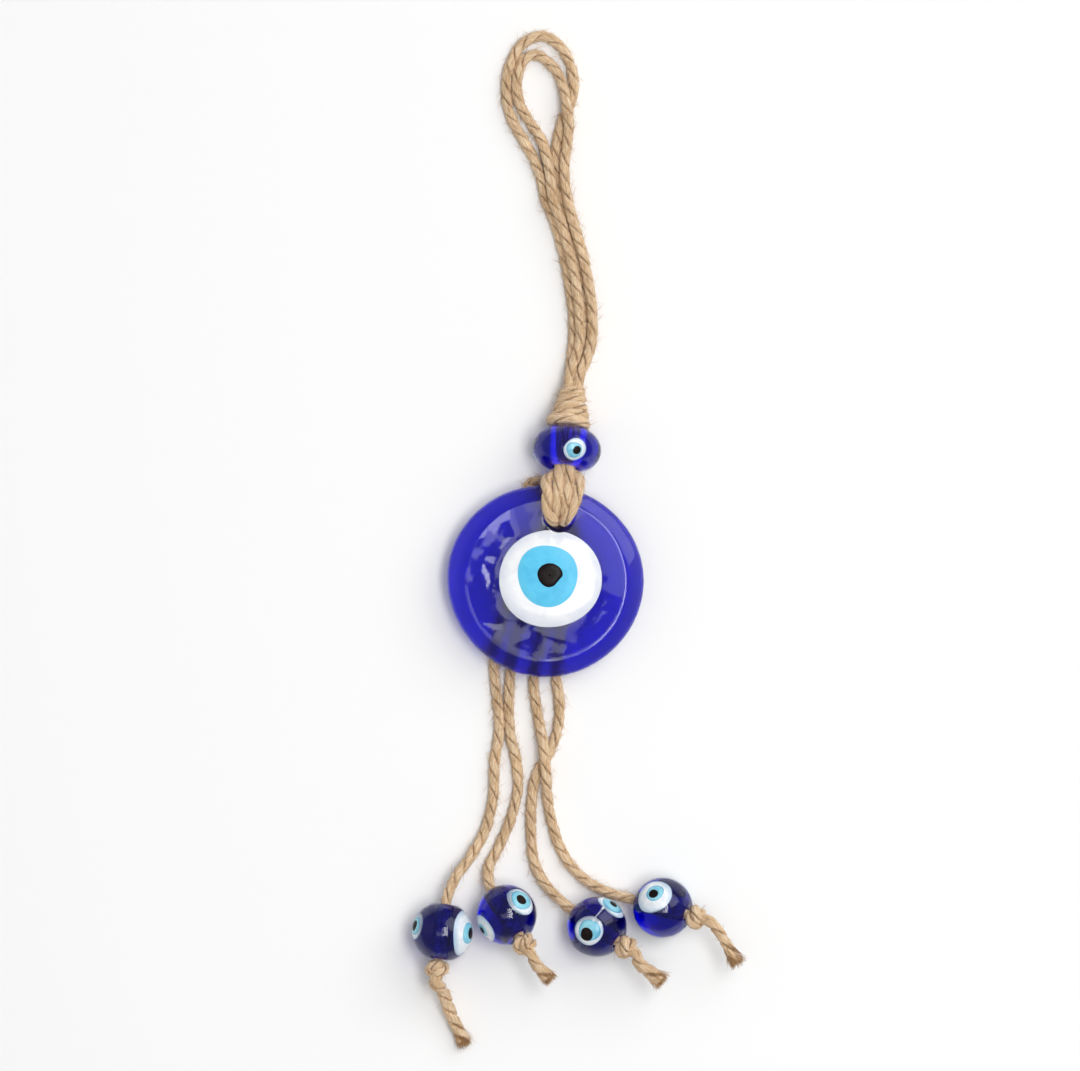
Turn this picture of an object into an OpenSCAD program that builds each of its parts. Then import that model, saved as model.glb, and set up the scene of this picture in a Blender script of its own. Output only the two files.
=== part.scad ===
// Evil eye hanging ornament, lying flat on a table with its loop pointing along +Y.
// The origin is the crown of the hanging loop, at table level. +Z points up from the table.

/* [Cord] */
// Diameter of the jute twine
cord_d = 2.0; // [1.6:0.1:2.0]
// Turns in the wrap knot above the neck bead
wrap_turns = 5; // [3:1:5]
// Distance between the turns of the wrap knot
wrap_pitch = 1.7; // [1.4:0.1:1.7]
// Radius of each stopper knot
knot_r = 2.2; // [1.9:0.1:2.4]
// Radius of a frayed end at its tip
fray_r = 1.5; // [1.1:0.1:1.8]

/* [Disc] */
// Diameter of the glass disc
disc_d = 40; // [36:0.5:40.5]
// Thickness of the disc at its rim
rim_t = 4.8; // [3.6:0.2:5]
// Thickness of the glass at the middle of the disc
crown_t = 5.6; // [5.2:0.1:6]
// Diameter of the cord hole
hole_d = 5.2; // [5.1:0.1:5.6]
// Diameter of the white layer
white_d = 20.6; // [16:0.2:20.6]
// Diameter of the blue layer
iris_d = 12.4; // [9:0.2:14]
// Diameter of the black layer
pupil_d = 5.2; // [4:0.2:7]

/* [Neck bead] */
// Outside diameter of the neck bead
neck_bead_d = 14; // [13:0.2:14.4]
// Length of the neck bead along its bore
neck_bead_l = 8.1; // [7:0.1:8.4]
// Diameter of its bore
neck_bore_d = 5.2; // [5.1:0.1:5.6]
// Diameter of its white spots
neck_white_d = 4.9; // [3.6:0.1:5.2]

/* [End beads] */
// Diameter of the end beads
end_bead_d = 12.4; // [11.6:0.1:12.4]
// Diameter of their bores
end_bore_d = 2.5; // [2.2:0.1:3]
// Length of an end bead between its flattened poles
end_bead_l = 11.4; // [10.6:0.1:11.4]

/* [Hidden] */
$fn = 96;
TUBE_SIDES = 8;
cord_r = cord_d / 2;

jute = "#be9669";
jute_dark = "#a67f52";
cobalt = "#14108c";
milk_white = "#f4f6f8";
sky_blue = "#55c8f0";
near_black = "#15151a";

// Neck: the wrap knot and the neck bead share one axis, which climbs from the stem to the disc.
neck_center = [5.3, -84.7, 6.9];
neck_heading = -6;
neck_pitch = 16;
neck_tube_r = neck_bead_l / 2;
neck_ring_r = neck_bead_d / 2 - neck_tube_r;
neck_eye_angles = [15, 135, 255];
neck_seam = -100;
neck_layer_share = [1, 0.66, 0.42];
neck_eye_lift = 28;
neck_layer_floor = [2.25, 2.85, 3.25];
wrap_start = 5.5;
wrap_bore_r = 2.45;
wrap_r_low = 4.2;
wrap_r_step = 0.3;

// Disc: its back lies on the tails below and on the hitch above, so it tilts a little.
disc_center = [0.9, -111.6, 3.0];
disc_tilt = 2;
disc_r = disc_d / 2;
rim_r = rim_t / 2;
hole_at = [2.8, 13.3];
dome_r = 90;
white_at = [1.0, 0.2];
iris_at = [0.5, 0.8];
pupil_at = [0.9, 1.2];
bevel_h = 0.3;
bevel_w = 1.2;
white_floor = 4.4;
iris_floor = 5.0;
pupil_floor = 5.4;
white_top = 5.9;
iris_top = 6.15;
pupil_top = 6.35;

// Hitch: a flattened knot behind the top of the disc, round below so that the tails can swing.
hitch_at = [3.7, -97];
hitch_t = 3.0;
hitch_r = 4.2;
hitch_lobes = [[-0.6, -92.2], [7.4, -92.6]];

// End beads: where each one rests, which way its knot end points, and how far that end is raised.
end_bead_r = end_bead_d / 2;
bead_at = [[-20.2, -183.5], [-7.0, -180.0], [11.4, -182.5], [24.9, -178.6]];
bead_heading = [-8, 32, 56, 75];
bead_pitch = [3, 24, 20, 22];
bead_eye_angles = [[68, -68, 180], [44, -72, 166], [-15, 70, 190], [21, 137, -125]];
bead_eye_lift = [-4, 8, 9, -5];
bead_white_r = [4.1, 3.4, 3.1, 3.6];
bead_seam = [-40, 0, -40, 20];
WHITE = 0;
IRIS = 1;
PUPIL = 2;
layer_share = [1, 0.62, 0.36];
layer_floor = [4.0, 5.0, 5.4];
knot_gap = 0.15;
knot_seat = end_bead_l / 2 + knot_gap;
knot_mid = knot_seat + 0.8 * knot_r;
knot_end = knot_seat + 1.6 * knot_r;

// A point on the neck axis, t mm from the bead's middle, with side and rise across the axis.
function neck_point(t, side = 0, rise = 0) =
  neck_center + t * aim(neck_heading, neck_pitch)
  + side * [cos(neck_heading), sin(neck_heading), 0]
  + rise * lift(neck_heading, neck_pitch);

// Unit vectors: along a bore that is turned by a heading and raised by a pitch, and across it.
function aim(heading, pitch) =
  [sin(heading) * cos(pitch), -cos(heading) * cos(pitch), sin(pitch)];
function lift(heading, pitch) =
  [-sin(pitch) * sin(heading), sin(pitch) * cos(heading), cos(pitch)];

// The middle of end bead k, and a point on its bore axis, t mm towards its knot.
function bead_center(k) = [bead_at[k].x, bead_at[k].y, end_bead_r];
function bead_point(k, t) = bead_center(k) + t * aim(bead_heading[k], bead_pitch[k]);

// Routes of the two folded lengths of twine that make the loop, from the wrap knot up and round.
loop_outer_route = [
  [5.9, -69.7, 1.7], [6.2, -66.5, 1.1], [6.7, -62.5, 1.0], [6.6, -56.5, 1.0], [5.9, -51.0, 1.0],
  [4.7, -45.0, 1.0], [2.8, -38.0, 1.0], [0.9, -33.5, 1.0], [0.1, -29.5, 1.0], [-0.9, -26.5, 1.0],
  [-2.9, -22.5, 1.0], [-5.0, -18.9, 1.0], [-6.5, -15.5, 1.0], [-7.1, -11.5, 1.0],
  [-6.9, -8.0, 1.0], [-5.9, -4.9, 1.0], [-3.7, -1.6, 1.0], [0, 0, 1.0], [3.1, -1.4, 1.0],
  [5.3, -4.2, 1.0], [6.5, -7.6, 1.0], [6.7, -11.0, 1.0], [5.8, -14.4, 1.0], [4.4, -17.6, 1.0],
  [3.4, -21.5, 1.0], [3.0, -26.0, 1.0], [3.6, -30.0, 1.0], [4.0, -33.5, 1.0],
  [5.3, -38.0, 1.0], [7.3, -45.0, 1.0], [8.5, -51.0, 1.0], [9.2, -56.5, 1.0],
  [9.3, -62.5, 1.0], [8.5, -66.5, 1.1], [7.9, -69.7, 1.7]
];
loop_inner_route = [
  [5.9, -69.7, 3.7], [6.9, -66.5, 2.9], [8.0, -62.5, 2.6], [7.9, -56.5, 2.6], [7.2, -51.0, 2.6],
  [6.0, -45.0, 2.6], [4.1, -38.0, 2.6], [2.5, -33.5, 2.6], [2.0, -29.5, 2.5], [1.3, -25.5, 2.1],
  [0.1, -21.3, 1.4], [-2.3, -17.6, 1.0], [-4.2, -14.3, 1.0], [-5.0, -11.0, 1.0],
  [-4.6, -7.6, 1.0], [-3.6, -5.0, 1.0], [-1.2, -3.9, 1.0], [1.3, -5.2, 1.0], [3.4, -7.6, 1.1],
  [4.6, -10.6, 1.8], [5.2, -14.0, 3.0], [5.7, -17.0, 2.8], [5.6, -20.5, 2.3],
  [4.9, -25.0, 2.3], [4.9, -29.5, 2.5], [5.5, -33.5, 2.6], [6.6, -38.0, 2.6],
  [8.6, -45.0, 2.6], [9.8, -51.0, 2.6], [10.5, -56.5, 2.6], [10.4, -62.5, 2.6],
  [9.3, -66.5, 3.0], [7.9, -69.7, 3.7]
];

// Routes of the four strands from the top of the wrap knot, over the disc's rim and into its hole.
neck_top = -wrap_start - (wrap_turns - 1) * wrap_pitch - 1;
neck_out = neck_tube_r + 0.4;
neck_side = [-1, -1, 1, 1];
neck_rise = [-1, 1, -1, 1];
neck_rim_route = [
  [[2.4, -90.7, 8.5], [1.6, -92.3, 9.5], [1.3, -94.2, 10.0], [1.2, -96.2, 10.2],
   [1.5, -97.9, 10.2], [2.2, -99.0, 9.6], [2.7, -99.4, 8.2], [2.7, -99.4, 5.5], [2.7, -99.4, 3.0]],
  [[3.7, -91.3, 9.6], [3.5, -93.2, 9.9], [3.2, -95.2, 10.0], [2.9, -96.7, 9.3],
   [2.7, -97.4, 8.0], [2.7, -97.4, 5.5], [2.7, -97.4, 3.0]],
  [[6.8, -90.8, 8.5], [7.4, -92.3, 9.5], [7.4, -94.2, 10.0], [6.8, -96.2, 10.2],
   [5.9, -97.9, 10.2], [5.2, -99.0, 9.6], [4.7, -99.4, 8.2], [4.7, -99.4, 5.5], [4.7, -99.4, 3.0]],
  [[5.7, -91.3, 9.6], [5.5, -93.2, 9.9], [5.2, -95.2, 10.0], [4.9, -96.7, 9.3],
   [4.7, -97.4, 8.0], [4.7, -97.4, 5.5], [4.7, -97.4, 3.0]]
];
function neck_route(k) = concat(
  [for (t = [neck_top, -8, -3, 1, neck_out]) neck_point(t, neck_side[k], neck_rise[k])],
  neck_rim_route[k]
);

// Routes of the tails, from below the hitch to the end beads. Tail 4 passes over tail 3.
tail_free_route = [
  [[0.7, -100.8, 1.0], [-2.0, -105.0, 1.0], [-4.6, -110.5, 1.0], [-7.0, -116.5, 1.0],
   [-8.9, -123.0, 1.0], [-9.6, -129.5, 1.0], [-9.1, -135.0, 1.0], [-8.5, -140.0, 1.0],
   [-8.7, -144.0, 1.0], [-9.5, -149.0, 1.0], [-9.8, -156.0, 1.0], [-11.3, -162.5, 1.3],
   [-14.3, -168.0, 2.8], [-17.5, -172.5, 4.7]],
  [[2.6, -101.7, 1.0], [0.4, -107.0, 1.0], [-1.8, -113.0, 1.0], [-4.0, -119.5, 1.0],
   [-5.6, -126.0, 1.0], [-6.4, -132.0, 1.0], [-6.6, -138.0, 1.0], [-6.2, -143.5, 1.0],
   [-5.0, -149.0, 1.0], [-4.7, -154.0, 1.0], [-6.0, -160.0, 1.0], [-8.5, -166.0, 1.0],
   [-10.7, -170.5, 1.5]],
  [[6.8, -100.8, 1.0], [7.4, -106.0, 1.0], [6.5, -112.0, 1.0], [5.1, -118.5, 1.0],
   [3.7, -125.0, 1.0], [3.1, -131.0, 1.0], [3.8, -137.0, 1.0], [3.4, -142.5, 1.0],
   [1.4, -147.5, 1.0], [-0.9, -151.5, 1.0], [-1.9, -157.0, 1.0], [-2.0, -163.5, 1.0],
   [-1.3, -169.5, 1.1], [1.2, -174.3, 1.8]],
  [[4.8, -101.7, 1.0], [4.3, -107.5, 1.0], [3.0, -113.5, 1.0], [1.2, -119.5, 1.0],
   [-0.5, -126.0, 1.0], [-1.5, -132.0, 1.0], [-1.0, -137.0, 1.0], [-0.2, -141.5, 1.5],
   [0.4, -145.0, 2.7], [0.8, -148.5, 3.2], [1.1, -152.0, 2.6], [1.4, -156.5, 1.3],
   [2.2, -161.0, 1.0], [4.0, -166.5, 1.0], [7.3, -171.5, 1.2], [12.2, -174.9, 2.0]]
];
function tail_route(k) = concat(
  tail_free_route[k],
  [for (t = [-7, -4, 0, knot_seat]) bead_point(k, t)]
);

// Routes of the frayed ends beyond the knots.
end_free_route = [
  [[-20.2, -195.5, 4.6], [-18.7, -199.8, 2.7], [-17.0, -203.6, 1.7], [-15.5, -206.8, 1.6]],
  [[-1.0, -190.0, 11.0], [0.4, -191.6, 11.4], [2.0, -193.2, 11.5]],
  [[19.9, -189.6, 10.5], [22.4, -191.7, 11.0], [24.8, -193.8, 10.9]],
  [[35.8, -182.6, 10.7], [38.1, -186.2, 10.8], [40.2, -190.0, 10.2]]
];
function end_route(k) = concat([bead_point(k, knot_end), bead_point(k, knot_end + 1)],
  end_free_route[k]);

// Sweep: one closed tube along the points of a route, with a radius for each point.
// The reference vector fixes how the rings are turned, and is never parallel to the route.
function unit(v) = v / norm(v);
function tangent(route, i) =
  unit(route[min(i + 1, len(route) - 1)] - route[max(i - 1, 0)]);
function ring(center, along, ref, r) =
  let (side = unit(cross(along, ref)), up = cross(side, along))
  [for (s = [0 : TUBE_SIDES - 1])
    let (a = 360 * (s + 0.5) / TUBE_SIDES)
    center + r * (cos(a) * side + sin(a) * up)];

module tube(route, radii, ref) {
  n = len(route);
  m = TUBE_SIDES;
  points = [for (i = [0 : n - 1]) each ring(route[i], tangent(route, i), ref, radii[i])];
  walls = [for (i = [0 : n - 2], s = [0 : m - 1])
    let (t = (s + 1) % m)
    each [[i * m + s, i * m + t, (i + 1) * m + s], [i * m + t, (i + 1) * m + t, (i + 1) * m + s]]];
  first_cap = [[for (s = [m - 1 : -1 : 0]) s]];
  last_cap = [[for (s = [0 : m - 1]) (n - 1) * m + s]];
  polyhedron(points, concat(walls, first_cap, last_cap));
}

module cord(route, ref = [0, 0, 1]) {
  color(jute) tube(route, [for (p = route) cord_r], ref);
}

// Wrap knot: turns of twine side by side, wider towards the neck bead.
module wrap_knot() {
  color(jute_dark)
    translate(neck_center) rotate([90 - neck_pitch, 0, neck_heading])
      difference() {
        rotate_extrude()
          for (i = [0 : wrap_turns - 1])
            translate([wrap_r_low - 1 - wrap_r_step * i, -wrap_start - wrap_pitch * i]) circle(1);
        translate([0, 0, -20]) cylinder(h = 20, r = wrap_bore_r);
      }
}

module hitch() {
  color(jute_dark)
    hull() {
      for (p = hitch_lobes)
        translate([p.x, p.y, hitch_t / 2]) sphere(hitch_t / 2, $fn = 24);
      translate([hitch_at.x, hitch_at.y, 0]) cylinder(h = hitch_t, r = hitch_r - 0.6, $fn = 32);
      translate([hitch_at.x, hitch_at.y, 0.6]) cylinder(h = hitch_t - 1.2, r = hitch_r, $fn = 32);
    }
}

module neck_strand(k) {
  cord(neck_route(k), [1, 0, 0]);
}

// Neck bead: a ring of round section, with eyes let into its outer face, towards the disc.
module neck_ring() {
  rotate([0, 0, neck_seam])
    rotate_extrude()
      intersection() {
        translate([neck_ring_r, 0]) circle(neck_tube_r);
        translate([0, -neck_bead_l]) square([neck_bead_d, 2 * neck_bead_l]);
      }
}

module neck_eye_posts(layer) {
  for (a = neck_eye_angles)
    rotate([0, 0, -a]) translate([0, neck_ring_r, 0]) rotate([neck_eye_lift - 90, 0, 0])
      translate([0, 0, neck_layer_floor[layer]])
        cylinder(h = neck_bead_d, r = neck_layer_share[layer] * neck_white_d / 2);
}

module neck_place() {
  translate(neck_center) rotate([90 - neck_pitch, 0, neck_heading]) children();
}

module neck_bead_body() {
  color(cobalt) neck_place()
    difference() {
      neck_ring();
      neck_eye_posts(WHITE);
      translate([0, 0, -neck_bead_l]) cylinder(h = 2 * neck_bead_l, r = neck_bore_d / 2);
    }
}

module neck_layer(layer) {
  neck_place()
    difference() {
      intersection() {
        neck_ring();
        neck_eye_posts(layer);
      }
      if (layer < PUPIL) neck_eye_posts(layer + 1);
    }
}

module neck_bead_whites() {
  color(milk_white) neck_layer(WHITE);
}

module neck_bead_irises() {
  color(sky_blue) neck_layer(IRIS);
}

module neck_bead_pupils() {
  color(near_black) neck_layer(PUPIL);
}

// Disc: flat back, full round rim, slightly domed front, and layers of glass let into it.
module disc_place() {
  translate(disc_center) rotate([disc_tilt, 0, 0]) children();
}

module disc_blank() {
  rotate_extrude()
    union() {
      square([disc_r - rim_r, rim_t]);
      translate([disc_r - rim_r, rim_r]) circle(rim_r);
      intersection() {
        translate([0, crown_t - dome_r]) circle(dome_r, $fn = 180);
        square([disc_r - rim_r, crown_t]);
      }
    }
}

// A round plug of glass from its floor to its top, with a bevelled upper edge.
module disc_plug(at, r, floor_z, top) {
  translate([at.x, at.y, floor_z])
    rotate_extrude()
      polygon([[0, 0], [r, 0], [r, top - floor_z - bevel_h], [r - bevel_w, top - floor_z],
        [0, top - floor_z]]);
}

module disc_post(at, r, floor_z) {
  translate([at.x, at.y, floor_z]) cylinder(h = crown_t, r = r);
}

module disc_body() {
  color(cobalt) disc_place()
    difference() {
      disc_blank();
      disc_post(white_at, white_d / 2, white_floor);
      translate([hole_at.x, hole_at.y, -1]) cylinder(h = crown_t + 2, r = hole_d / 2);
    }
}

module disc_white() {
  color(milk_white) disc_place()
    difference() {
      disc_plug(white_at, white_d / 2, white_floor, white_top);
      disc_post(iris_at, iris_d / 2, iris_floor);
    }
}

module disc_iris() {
  color(sky_blue) disc_place()
    difference() {
      disc_plug(iris_at, iris_d / 2, iris_floor, iris_top);
      disc_post(pupil_at, pupil_d / 2, pupil_floor);
    }
}

module disc_pupil() {
  color(near_black) disc_place() disc_plug(pupil_at, pupil_d / 2, pupil_floor, pupil_top);
}

// End beads: round, with flattened poles, a true bore and eyes let into the ball.
module bead_place(k) {
  translate(bead_center(k)) rotate([90 - bead_pitch[k], 0, bead_heading[k]]) children();
}

module bead_ball(k) {
  rotate([0, 0, bead_seam[k]]) sphere(end_bead_r);
}

module bead_eye_posts(k, layer) {
  for (a = bead_eye_angles[k])
    rotate([0, 0, -a]) rotate([bead_eye_lift[k] - 90, 0, 0])
      translate([0, 0, layer_floor[layer]])
        cylinder(h = end_bead_d, r = layer_share[layer] * bead_white_r[k]);
}

module bead_body(k) {
  color(cobalt) bead_place(k)
    difference() {
      intersection() {
        bead_ball(k);
        translate([0, 0, -end_bead_l / 2]) cylinder(h = end_bead_l, r = end_bead_d);
      }
      bead_eye_posts(k, WHITE);
      translate([0, 0, -end_bead_r]) cylinder(h = end_bead_d, r = end_bore_d / 2);
    }
}

module bead_layer(k, layer) {
  bead_place(k)
    difference() {
      intersection() {
        bead_ball(k);
        bead_eye_posts(k, layer);
      }
      if (layer < PUPIL) bead_eye_posts(k, layer + 1);
    }
}

module bead_whites(k) {
  color(milk_white) bead_layer(k, WHITE);
}

module bead_irises(k) {
  color(sky_blue) bead_layer(k, IRIS);
}

module bead_pupils(k) {
  color(near_black) bead_layer(k, PUPIL);
}

// Stopper knot: a ball of twine, flat where it meets the bead's strand and the frayed end.
module stopper_knot(k) {
  color(jute_dark) bead_place(k)
    intersection() {
      translate([0, 0, knot_mid]) sphere(knot_r);
      translate([0, 0, knot_seat]) cylinder(h = knot_end - knot_seat, r = 2 * knot_r);
    }
}

module frayed_end(k) {
  route = end_route(k);
  last = len(route) - 1;
  color(jute)
    tube(route, [for (i = [0 : last]) cord_r + (fray_r - cord_r) * pow(i / last, 2)], [0, 0, 1]);
}

wrap_knot();
hitch();
neck_strand(0);  // neck_strand_1
neck_strand(1);  // neck_strand_2
neck_strand(2);  // neck_strand_3
neck_strand(3);  // neck_strand_4
cord(loop_outer_route);  // loop_strand_outer
cord(loop_inner_route);  // loop_strand_inner
neck_bead_body();
neck_bead_whites();
neck_bead_irises();
neck_bead_pupils();
disc_body();
disc_white();
disc_iris();
disc_pupil();
cord(tail_route(0));  // tail_strand_1
cord(tail_route(1));  // tail_strand_2
cord(tail_route(2));  // tail_strand_3
cord(tail_route(3));  // tail_strand_4
stopper_knot(0);  // stopper_knot_1
stopper_knot(1);  // stopper_knot_2
stopper_knot(2);  // stopper_knot_3
stopper_knot(3);  // stopper_knot_4
frayed_end(0);  // frayed_end_1
frayed_end(1);  // frayed_end_2
frayed_end(2);  // frayed_end_3
frayed_end(3);  // frayed_end_4
bead_body(0);  // end_bead_1_body
bead_whites(0);  // end_bead_1_whites
bead_irises(0);  // end_bead_1_irises
bead_pupils(0);  // end_bead_1_pupils
bead_body(1);  // end_bead_2_body
bead_whites(1);  // end_bead_2_whites
bead_irises(1);  // end_bead_2_irises
bead_pupils(1);  // end_bead_2_pupils
bead_body(2);  // end_bead_3_body
bead_whites(2);  // end_bead_3_whites
bead_irises(2);  // end_bead_3_irises
bead_pupils(2);  // end_bead_3_pupils
bead_body(3);  // end_bead_4_body
bead_whites(3);  // end_bead_4_whites
bead_irises(3);  // end_bead_4_irises
bead_pupils(3);  // end_bead_4_pupils
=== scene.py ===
"""Looks for the evil eye hanging ornament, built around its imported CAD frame.

Lengths in this file are millimetres and angles are degrees, unless a name says otherwise.
Meshes are written in metres. The cord routes and the seats of the beads repeat the CAD's own.
"""

import math
import zlib

import bpy
import numpy as np
from mathutils import Matrix


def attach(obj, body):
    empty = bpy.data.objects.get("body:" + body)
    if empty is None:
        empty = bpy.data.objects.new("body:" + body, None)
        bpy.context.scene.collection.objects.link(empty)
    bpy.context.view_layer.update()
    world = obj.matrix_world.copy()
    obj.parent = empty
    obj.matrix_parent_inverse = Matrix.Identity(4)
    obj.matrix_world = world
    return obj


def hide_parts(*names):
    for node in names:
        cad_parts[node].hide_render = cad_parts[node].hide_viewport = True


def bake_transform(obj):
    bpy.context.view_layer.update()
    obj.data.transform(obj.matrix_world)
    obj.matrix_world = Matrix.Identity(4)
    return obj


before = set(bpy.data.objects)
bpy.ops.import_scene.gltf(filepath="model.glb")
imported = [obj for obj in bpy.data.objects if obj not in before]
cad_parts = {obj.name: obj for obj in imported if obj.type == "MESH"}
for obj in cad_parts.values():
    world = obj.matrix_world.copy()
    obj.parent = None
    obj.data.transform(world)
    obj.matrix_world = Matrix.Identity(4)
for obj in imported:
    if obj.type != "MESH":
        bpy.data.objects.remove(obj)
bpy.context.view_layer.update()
scene = bpy.context.scene
MM = 0.001
TAU = 2 * math.pi


# ---- camera

CAMERA_AT = (-0.2, -102.4, 3005.0)
FRAME_WIDTH = 221.5
SENSOR = 36.0


def make_camera():
    data = bpy.data.cameras.new("camera")
    data.sensor_width = SENSOR
    data.lens = SENSOR * CAMERA_AT[2] / FRAME_WIDTH
    data.clip_end = 20
    camera = bpy.data.objects.new("camera", data)
    camera.location = [x * MM for x in CAMERA_AT]
    scene.collection.objects.link(camera)
    scene.camera = camera


make_camera()


# ---- places taken from the CAD

CORD_D = 2.0
CORD_R = CORD_D / 2
NECK_CENTER = np.array([5.3, -84.7, 6.9])
NECK_HEADING = -6
NECK_PITCH = 16
NECK_TUBE_R = 4.05
NECK_RING_R = 2.95
NECK_BORE_R = 2.6
NECK_EYE_ANGLES = [15, 135, 255]
NECK_EYE_LIFT = 28
WRAP_START = 5.5
WRAP_PITCH = 1.7
WRAP_TURNS = 5
WRAP_R_LOW = 3.2
WRAP_R_STEP = 0.4

DISC_CENTER = np.array([0.9, -111.6, 3.0])
DISC_TILT = 2
DISC_R = 20.0
DISC_RIM_T = 4.8
HOLE_AT = np.array([2.8, 13.3])
HOLE_R = 2.6
WHITE_AT = np.array([1.0, 0.5])
IRIS_AT = np.array([0.5, 1.1])
PUPIL_AT = np.array([0.9, 1.35])

BEAD_R = 6.2
BEAD_BORE_R = 1.25
BEAD_AT = [[-20.2, -183.5], [-7.0, -180.0], [11.4, -182.5], [24.9, -178.6]]
BEAD_HEADING = [-8, 32, 56, 75]
BEAD_PITCH = [3, 24, 20, 22]
BEAD_EYE_ANGLES = [[68, -68, 180], [44, -72, 166], [-15, 70, 190], [21, 137, -125]]
BEAD_EYE_LIFT = [-4, 8, 9, -5]
BEAD_WHITE_R = [4.1, 3.4, 3.1, 3.6]
KNOT_SEAT = 5.85
KNOT_MID = 7.61
KNOT_END = 9.37


def lying(points):
    """A point with no height given is the cord's radius above the floor."""
    return [[*point, CORD_R][:3] for point in points]


LOOP_OUTER = lying([
    [5.9, -69.7, 1.7], [6.2, -66.5, 1.1], [6.7, -62.5], [6.6, -56.5], [5.9, -51.0], [4.7, -45.0],
    [2.8, -38.0], [0.9, -33.5], [0.1, -29.5], [-0.9, -26.5], [-2.9, -22.5], [-5.0, -18.9],
    [-6.5, -15.5], [-7.1, -11.5], [-6.9, -8.0], [-5.9, -4.9], [-3.7, -1.6], [0, 0], [3.1, -1.4],
    [5.3, -4.2], [6.5, -7.6], [6.7, -11.0], [5.8, -14.4], [4.4, -17.6], [3.4, -21.5],
    [3.0, -26.0], [3.6, -30.0], [4.0, -33.5], [5.3, -38.0], [7.3, -45.0], [8.5, -51.0],
    [9.2, -56.5], [9.3, -62.5], [8.5, -66.5, 1.1], [7.9, -69.7, 1.7]
])
LOOP_INNER = lying([
    [5.9, -69.7, 3.7], [6.9, -66.5, 2.9], [8.0, -62.5, 2.6], [7.9, -56.5, 2.6], [7.2, -51.0, 2.6],
    [6.0, -45.0, 2.6], [4.1, -38.0, 2.6], [2.5, -33.5, 2.6], [2.0, -29.5, 2.5], [1.3, -25.5, 2.1],
    [0.1, -21.3, 1.4], [-2.3, -17.6], [-4.2, -14.3], [-5.0, -11.0], [-4.6, -7.6], [-3.6, -5.0],
    [-1.2, -3.9], [1.3, -5.2], [3.4, -7.6, 1.1], [4.6, -10.6, 1.8], [5.2, -14.0, 3.0],
    [5.7, -17.0, 2.8], [5.6, -20.5, 2.3], [4.9, -25.0, 2.3], [4.9, -29.5, 2.5], [5.5, -33.5, 2.6],
    [6.6, -38.0, 2.6], [8.6, -45.0, 2.6], [9.8, -51.0, 2.6], [10.5, -56.5, 2.6],
    [10.4, -62.5, 2.6], [9.3, -66.5, 3.0], [7.9, -69.7, 3.7]
])
NECK_TOP = -13.3
NECK_OUT = 4.45
NECK_SIDE = [-1, -1, 1, 1]
NECK_RISE = [-1, 1, -1, 1]
NECK_RIM = [
    [[2.4, -90.7, 8.5], [1.6, -92.3, 9.5], [1.3, -94.2, 10.0], [1.2, -96.2, 10.2],
     [1.5, -97.9, 10.2], [2.2, -99.0, 9.6], [2.7, -99.4, 8.2], [2.7, -99.4, 5.5],
     [2.7, -99.4, 3.0]],
    [[3.7, -91.3, 9.6], [3.5, -93.2, 9.9], [3.2, -95.2, 10.0], [2.9, -96.7, 9.3],
     [2.7, -97.4, 8.0], [2.7, -97.4, 5.5], [2.7, -97.4, 3.0]],
    [[6.8, -90.8, 8.5], [7.4, -92.3, 9.5], [7.4, -94.2, 10.0], [6.8, -96.2, 10.2],
     [5.9, -97.9, 10.2], [5.2, -99.0, 9.6], [4.7, -99.4, 8.2], [4.7, -99.4, 5.5],
     [4.7, -99.4, 3.0]],
    [[5.7, -91.3, 9.6], [5.5, -93.2, 9.9], [5.2, -95.2, 10.0], [4.9, -96.7, 9.3],
     [4.7, -97.4, 8.0], [4.7, -97.4, 5.5], [4.7, -97.4, 3.0]],
]
TAIL_FREE = [lying(points) for points in (
    [[0.7, -100.8], [-2.0, -105.0], [-4.6, -110.5], [-7.0, -116.5], [-8.9, -123.0],
     [-9.6, -129.5], [-9.1, -135.0], [-8.5, -140.0], [-8.7, -144.0], [-9.5, -149.0],
     [-9.8, -156.0], [-11.3, -162.5, 1.3], [-14.3, -168.0, 2.8], [-17.5, -172.5, 4.7]],
    [[2.6, -101.7], [0.4, -107.0], [-1.8, -113.0], [-4.0, -119.5], [-5.6, -126.0], [-6.4, -132.0],
     [-6.6, -138.0], [-6.2, -143.5], [-5.0, -149.0], [-4.7, -154.0], [-6.0, -160.0],
     [-8.5, -166.0], [-10.7, -170.5, 1.5]],
    [[6.8, -100.8], [7.4, -106.0], [6.5, -112.0], [5.1, -118.5], [3.7, -125.0], [3.1, -131.0],
     [3.8, -137.0], [3.4, -142.5], [1.4, -147.5], [-0.9, -151.5], [-1.9, -157.0], [-2.0, -163.5],
     [-1.3, -169.5, 1.1], [1.2, -174.3, 1.8]],
    [[4.8, -101.7], [4.3, -107.5], [3.0, -113.5], [1.2, -119.5], [-0.5, -126.0], [-1.5, -132.0],
     [-1.0, -137.0], [-0.2, -141.5, 1.5], [0.4, -145.0, 2.7], [0.8, -148.5, 3.2],
     [1.1, -152.0, 2.6], [1.4, -156.5, 1.3], [2.2, -161.0], [4.0, -166.5], [7.3, -171.5, 1.2],
     [12.2, -174.9, 2.0]],
)]
END_FREE = [
    [[-20.2, -195.5, 4.6], [-18.7, -199.8, 2.7], [-17.0, -203.6, 1.7], [-15.5, -206.8, 1.6]],
    [[-1.0, -190.0, 11.0], [0.4, -191.6, 11.4], [2.0, -193.2, 11.5]],
    [[19.9, -189.6, 10.5], [22.4, -191.7, 11.0], [24.8, -193.8, 10.9]],
    [[35.8, -182.6, 10.7], [38.1, -186.2, 10.8], [40.2, -190.0, 10.2]],
]


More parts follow.
